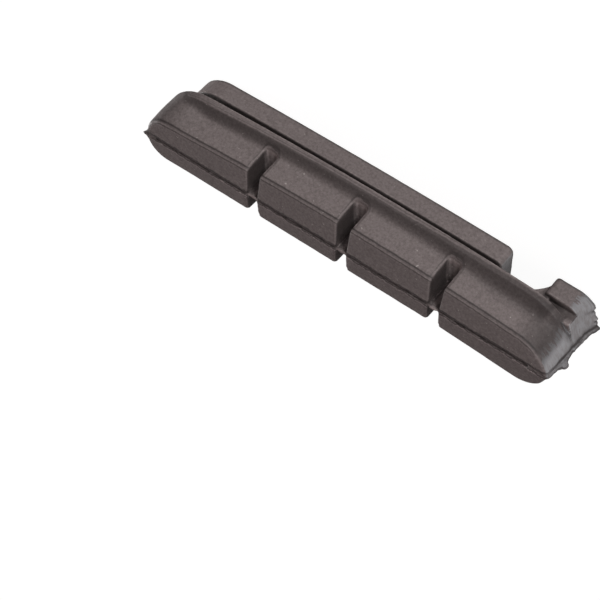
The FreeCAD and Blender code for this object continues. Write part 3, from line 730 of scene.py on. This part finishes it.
def painted_light_and_shade(paint):
    """Painted light and shade on the skin: painted black shade in its slots, painted highlights on sharp
    edges, painted shade in the lip's hollow flare, darker along the flat back's edge, painted lines of
    highlight and shade along the lip, the grooves, the friction face's edge and the parting line, and the
    painted shade and light near the ends, in the grooves and on the stop block."""
    rough = paint.grain(1400, 4, 0.75)
    brim = paint.strayed("brim", rough, 0.25)
    brim = paint.curve(brim, (-2.0, 1.0), (-0.34, 1.0), (-0.27, 0.42), (-0.14, 0.42), (-0.07, 1.0),
                       (0.1, 0.7), (0.22, 0.6), (0.27, 0.2), (0.41, 0.2), (0.48, 0.8), (0.6, 1.0),
                       (2.0, 1.0))
    seam = paint.strayed("seam", rough, 0.7)
    seam = paint.curve(seam, (-1.0, 1.0), (-0.4, 1.0), (-0.34, 1.5), (-0.26, 1.4), (-0.22, 0.3),
                       (-0.1, 0.3), (-0.04, 0.7), (0.24, 0.65), (0.34, 0.3), (0.58, 0.3), (0.66, 1.0),
                       (1.0, 1.0))
    painted_shading = paint.math("MULTIPLY", paint.masked(brim, "skin"), paint.masked(seam, "ridge"))
    # Painted shade in slots and in the lip's hollow flare, painted highlights on sharp edges, darker along
    # the flat back's edge, and painted highlight lines with painted shade along the lip and along the
    # grooves.
    follows = {
        "open": ((0.0, 0.9), (0.3, 0.7), (0.45, 0.28), (0.62, 0.28), (0.8, 0.6), (0.95, 1.0), (1.0, 1.0)),
        "sharp": ((0.0, 1.0), (0.12, 1.0), (0.3, 1.45), (0.6, 1.7)),
        "rear": ((0.0, 0.5), (0.24, 0.5), (0.4, 1.0), (3.0, 1.0)),
        "level": ((-0.7, 0.9), (-0.6, 0.95), (-0.52, 0.6), (-0.44, 0.6), (-0.36, 0.95), (-0.26, 0.88),
                  (-0.16, 0.4), (0.28, 0.4), (0.5, 0.54), (0.8, 0.86), (1.1, 1.0), (FAR, 1.0)),
        "rim": ((-0.5, 1.0), (-0.12, 1.1), (-0.03, 1.45), (0.07, 1.45), (0.14, 0.6), (0.25, 0.6),
                (0.35, 1.0), (FAR, 1.0)),
    }
    for name, stops in follows.items():
        painted_shading = paint.math("MULTIPLY", painted_shading, paint.curve(paint.value(name), *stops))
    return paint.math("MULTIPLY", painted_shading, paint.value("ends"))


def rubber():
    """Matt rubber with a fine bump. Below 1 the painted shading mixes its colour with the painted shade
    colour, and above 1 it lightens it as painted highlight."""
    paint = Paint("brake_rubber")
    painted_shading = painted_light_and_shade(paint)
    colour = paint.mix(paint.math("MINIMUM", painted_shading, 1.0), PAINTED_SHADE, rubber_colour(paint))
    lightened = paint.tree.nodes.new("ShaderNodeVectorMath")
    lightened.operation = "SCALE"
    paint.link(colour, lightened.inputs[0])
    paint.link(paint.math("MAXIMUM", painted_shading, 1.0), lightened.inputs["Scale"])
    paint.link(lightened.outputs[0], paint.shader.inputs["Base Color"])
    paint.shader.inputs["Specular IOR Level"].default_value = 0.35
    paint.link(paint.curve(paint.grain(900, 3), (0.3, 0.55), (0.7, 0.75)), paint.shader.inputs["Roughness"])
    bump = paint.tree.nodes.new("ShaderNodeBump")
    bump.inputs["Strength"].default_value = 0.85
    bump.inputs["Distance"].default_value = 0.06 * MM
    paint.link(paint.grain(4200, 5, 0.7), bump.inputs["Height"])
    paint.link(bump.outputs["Normal"], paint.shader.inputs["Normal"])
    return paint.material


def floor():
    """Plain white floor. To the camera it glows almost white, and the rest keeps the pad's shadow."""
    mesh = bpy.data.meshes.new("floor")
    corners = [(x * FLOOR_HALF, y * FLOOR_HALF, 0) for x, y in ((-1, -1), (1, -1), (1, 1), (-1, 1))]
    mesh.from_pydata(corners, [], [(0, 1, 2, 3)])
    piece = bpy.data.objects.new("floor", mesh)
    bpy.context.scene.collection.objects.link(piece)
    paint = Paint("floor")
    paint.shader.inputs["Base Color"].default_value = (0.8, 0.8, 0.8, 1)
    glow = paint.tree.nodes.new("ShaderNodeEmission")
    glow.inputs["Strength"].default_value = FLOOR_GLOW
    seen = paint.tree.nodes.new("ShaderNodeLightPath")
    mix = paint.tree.nodes.new("ShaderNodeMixShader")
    share = paint.math("MULTIPLY", seen.outputs["Is Camera Ray"], FLOOR_GLOW_SHARE)
    paint.link(share, mix.inputs[0])
    paint.link(paint.shader.outputs[0], mix.inputs[1])
    paint.link(glow.outputs[0], mix.inputs[2])
    paint.link(mix.outputs[0], paint.tree.nodes["Material Output"].inputs["Surface"])
    mesh.materials.append(paint.material)


def lamp(name, place, size, power):
    """A soft square lamp that looks at the pad and isn't seen itself."""
    data = bpy.data.lights.new(name, "AREA")
    data.size = size
    data.energy = power
    piece = bpy.data.objects.new(name, data)
    bpy.context.scene.collection.objects.link(piece)
    piece.location = place
    piece.rotation_euler = Vector(place).to_track_quat("Z", "Y").to_euler()
    piece.visible_camera = False


def light():
    """Surroundings that look white and light the pad a little warmly, and soft low lamps beside the bulging
    side and beyond both ends."""
    world = bpy.data.worlds.new("world")
    bpy.context.scene.world = world
    world.use_nodes = True
    tree = world.node_tree
    background = tree.nodes["Background"]
    background.inputs["Color"].default_value = SKY
    background.inputs["Strength"].default_value = SKY_STRENGTH
    seen = tree.nodes.new("ShaderNodeBackground")
    seen.inputs["Color"].default_value = (1, 1, 1, 1)
    path = tree.nodes.new("ShaderNodeLightPath")
    mix = tree.nodes.new("ShaderNodeMixShader")
    tree.links.new(path.outputs["Is Camera Ray"], mix.inputs[0])
    tree.links.new(background.outputs[0], mix.inputs[1])
    tree.links.new(seen.outputs[0], mix.inputs[2])
    tree.links.new(mix.outputs[0], tree.nodes["World Output"].inputs["Surface"])
    for name, (place, size, power) in LAMPS.items():
        lamp(name, place, size, power)


def camera():
    """The camera, at the photograph's viewpoint."""
    data = bpy.data.cameras.new("camera")
    data.sensor_width = SENSOR_WIDTH
    data.lens = SENSOR_WIDTH * PHOTO_FOCAL / PHOTO_WIDTH
    piece = bpy.data.objects.new("camera", data)
    bpy.context.scene.collection.objects.link(piece)
    behind = Vector(CAMERA_BEHIND).normalized()
    right = Vector(CAMERA_RIGHT)
    right = (right - behind * right.dot(behind)).normalized()
    turn = Matrix((right, behind.cross(right), behind)).transposed().to_4x4()
    piece.matrix_world = Matrix.Translation(Vector(CAMERA_PLACE) * MM) @ turn
    bpy.context.scene.camera = piece


pad = build_pad()
pad.data.materials.append(rubber())
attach(pad, "root")
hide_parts("brake_pad")
floor()
light()
camera()
bpy.context.scene.view_settings.view_transform = "Standard"
